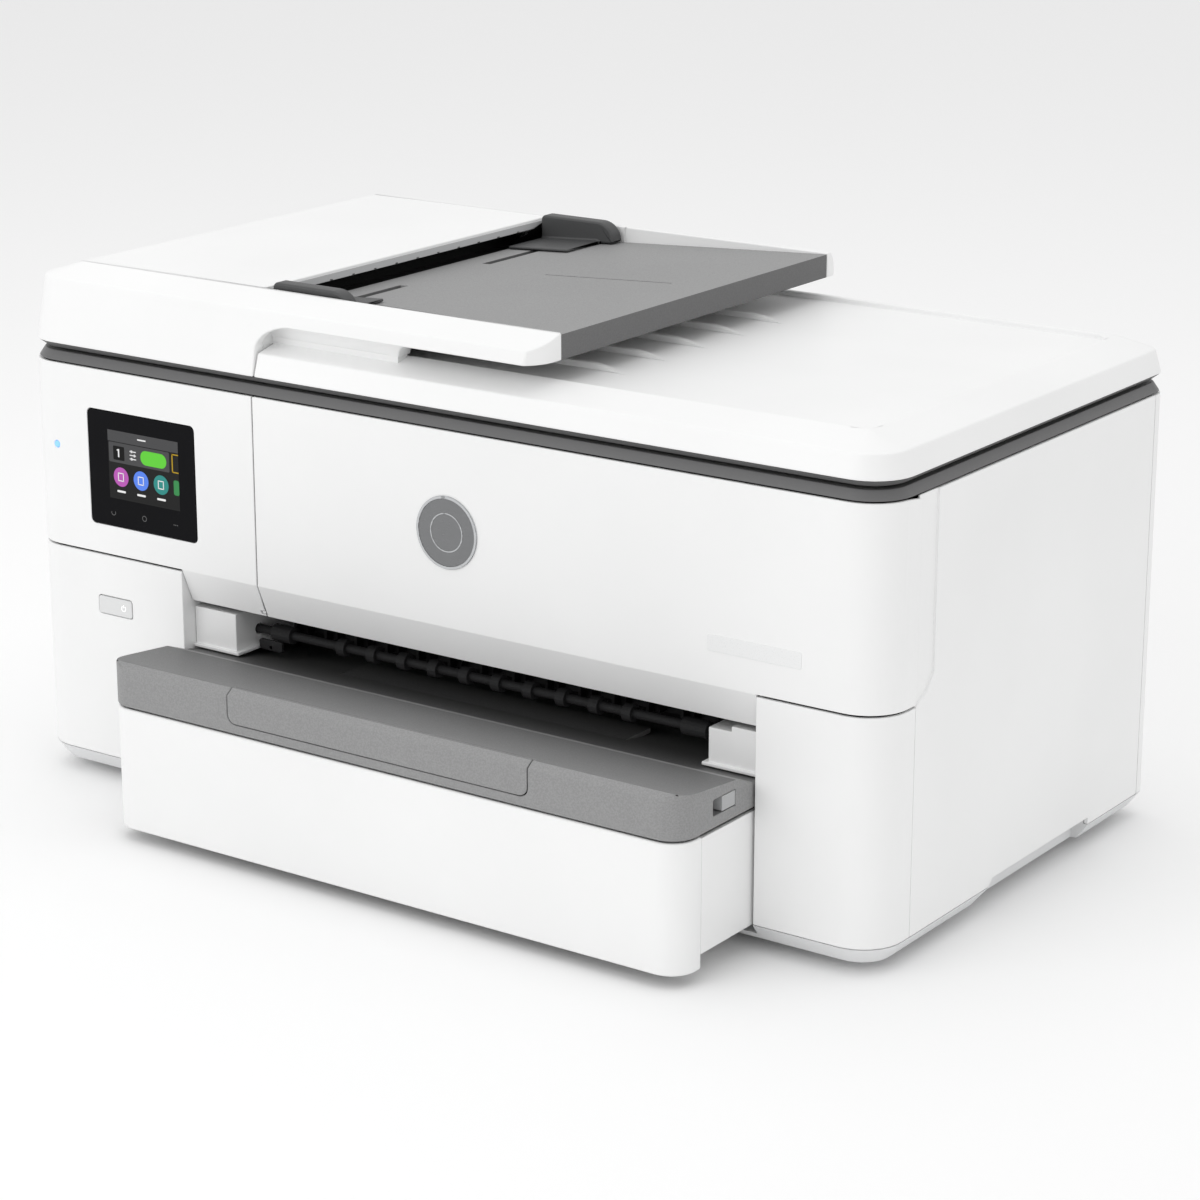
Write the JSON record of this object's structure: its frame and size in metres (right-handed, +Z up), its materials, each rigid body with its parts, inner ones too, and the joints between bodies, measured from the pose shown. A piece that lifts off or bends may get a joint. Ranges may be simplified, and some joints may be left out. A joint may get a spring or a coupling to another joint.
{
  "type": "inkjet printer with document feeder",
  "caption": "Wide desktop inkjet printer with a flatbed scanner lid, a sheet feeder on top, a touch panel, and a paper drawer and output tray at the front.",
  "frame": {"origin": "centre of the footprint, on the surface that the feet stand on", "axes": "+X to the right seen from the front, +Y towards the back, +Z up"},
  "size_m": [0.583, 0.374, 0.3094],
  "materials": {
    "white_plastic": "satin moulded white",
    "pale_grey_plastic": "satin moulded pale grey",
    "tray_plastic": "fine matt grain, mid grey",
    "guide_plastic": "fine matt grain, dark grey",
    "black_plastic": "matt black",
    "cyan_plastic": "satin",
    "magenta_plastic": "satin",
    "yellow_plastic": "satin",
    "dark_glass": "polished black panel",
    "clear_glass": "clear flat glass",
    "rubber": "matt",
    "steel": "zinc-plated sheet",
    "circuit_board": "solder mask",
    "pad_foam": "soft white sheet on foam"
  },
  "bodies": {
    "housing": {"base_pan": "pale_grey_plastic", "foot_front_left": "rubber", "foot_rear_left": "rubber", "foot_front_right": "rubber", "foot_rear_right": "rubber", "side_panel_left": "white_plastic", "side_panel_right": "white_plastic", "rear_panel": "white_plastic", "column_left": "white_plastic", "column_right": "white_plastic", "control_panel_housing": "white_plastic", "touch_display": "dark_glass", "outlet_block_left": "white_plastic", "outlet_block_right": "white_plastic", "feed_motor": "steel", "transfer_belt": "rubber", "drive_belt": "rubber", "frame_left": "steel", "frame_right": "steel", "platen": "black_plastic", "carriage_rail": "steel", "carriage_belt": "rubber", "carriage_motor": "steel", "service_station": "black_plastic", "power_supply": "black_plastic", "main_board": "circuit_board", "scanner_base": "tray_plastic", "scanner_glass": "clear_glass", "hinge_bracket_left": "guide_plastic", "hinge_bracket_right": "guide_plastic"},
    "power_key": {"power_button": "white_plastic"},
    "door": {"front_door": "white_plastic"},
    "feed_shaft": {"feed_roller_shaft": "steel"},
    "exit_shaft": {"exit_roller_shaft": "rubber"},
    "pick_shaft": {"pick_roller": "rubber"},
    "print_carriage": {"carriage": "black_plastic", "ink_cartridge_black": "black_plastic", "ink_cartridge_cyan": "cyan_plastic", "ink_cartridge_magenta": "magenta_plastic", "ink_cartridge_yellow": "yellow_plastic"},
    "drawer": {"drawer_front": "white_plastic", "drawer_body": "white_plastic"},
    "stack_guide_left": {"width_guide_left": "guide_plastic"},
    "stack_guide_right": {"width_guide_right": "guide_plastic"},
    "stack_guide_front": {"length_guide": "guide_plastic"},
    "tray": {"output_tray": "tray_plastic"},
    "extension": {"output_extension": "tray_plastic"},
    "latch": {"tray_latch": "guide_plastic"},
    "scanner": {"scan_bar": "black_plastic"},
    "lid": {"lid_band": "tray_plastic", "document_pad": "pad_foam", "lid_wing": "white_plastic", "feeder_base": "white_plastic", "feeder_tray": "tray_plastic", "lid_hinge_left": "guide_plastic", "lid_hinge_right": "guide_plastic"},
    "cover": {"feeder_cover": "white_plastic"},
    "cover_roller": {"feeder_roller": "rubber"},
    "sheet_guide_front": {"feeder_guide_front": "guide_plastic"},
    "sheet_guide_rear": {"feeder_guide_rear": "guide_plastic"}
  },
  "joints": [
    {"name": "power_press", "type": "slide", "parent": "housing", "child": "power_key", "axis": [0, 1, 0], "range_m": [0, 0.001], "stiffness_N_per_m": 800},
    {"name": "door_hinge", "type": "hinge", "parent": "housing", "child": "door", "pos_m": [0, -0.1117, 0.1245], "axis": [1, 0, 0], "range_deg": [0, 88]},
    {"name": "feed_spin", "type": "hinge", "parent": "housing", "child": "feed_shaft", "pos_m": [0, 0.0295, 0.106], "axis": [1, 0, 0], "continuous": true},
    {"name": "exit_spin", "type": "hinge", "parent": "housing", "child": "exit_shaft", "pos_m": [0, -0.0905, 0.1045], "axis": [1, 0, 0], "continuous": true},
    {"name": "pick_spin", "type": "hinge", "parent": "housing", "child": "pick_shaft", "pos_m": [0, 0.1415, 0.082], "axis": [1, 0, 0], "continuous": true},
    {"name": "carriage_slide", "type": "slide", "parent": "housing", "child": "print_carriage", "axis": [1, 0, 0], "range_m": [-0.44, 0]},
    {"name": "drawer_slide", "type": "slide", "parent": "housing", "child": "drawer", "axis": [0, -1, 0], "range_m": [0, 0.22]},
    {"name": "stack_guide_slide", "type": "slide", "parent": "drawer", "child": "stack_guide_left", "axis": [1, 0, 0], "range_m": [0, 0.08]},
    {"name": "stack_guide_return", "type": "slide", "parent": "drawer", "child": "stack_guide_right", "axis": [1, 0, 0], "range_m": [-0.08, 0]},
    {"name": "stack_length_slide", "type": "slide", "parent": "drawer", "child": "stack_guide_front", "axis": [0, 1, 0], "range_m": [0, 0.12]},
    {"name": "tray_slide", "type": "slide", "parent": "housing", "child": "tray", "axis": [0, -1, 0], "range_m": [0, 0.11]},
    {"name": "extension_slide", "type": "slide", "parent": "tray", "child": "extension", "axis": [0, -1, 0], "range_m": [0, 0.09]},
    {"name": "latch_slide", "type": "slide", "parent": "tray", "child": "latch", "axis": [0, -1, 0], "range_m": [0, 0.007]},
    {"name": "scan_slide", "type": "slide", "parent": "housing", "child": "scanner", "axis": [1, 0, 0], "range_m": [0, 0.44]},
    {"name": "lid_hinge", "type": "hinge", "parent": "housing", "child": "lid", "pos_m": [0, 0.184, 0.261], "axis": [-1, 0, 0], "range_deg": [0, 78]},
    {"name": "cover_hinge", "type": "hinge", "parent": "lid", "child": "cover", "pos_m": [-0.2645, 0, 0.306], "axis": [0, -1, 0], "range_deg": [0, 80]},
    {"name": "cover_roller_spin", "type": "hinge", "parent": "cover", "child": "cover_roller", "pos_m": [-0.1543, 0.0405, 0.293], "axis": [0, 1, 0], "continuous": true},
    {"name": "sheet_guide_slide", "type": "slide", "parent": "lid", "child": "sheet_guide_front", "axis": [0, 1, 0], "range_m": [0, 0.06]},
    {"name": "sheet_guide_return", "type": "slide", "parent": "lid", "child": "sheet_guide_rear", "axis": [0, 1, 0], "range_m": [-0.06, 0]}
  ],
  "couplings": [
    {"joint": "exit_spin", "follows": "feed_spin", "ratio": 1.6},
    {"joint": "stack_guide_return", "follows": "stack_guide_slide", "ratio": -1},
    {"joint": "sheet_guide_return", "follows": "sheet_guide_slide", "ratio": -1}
  ]
}
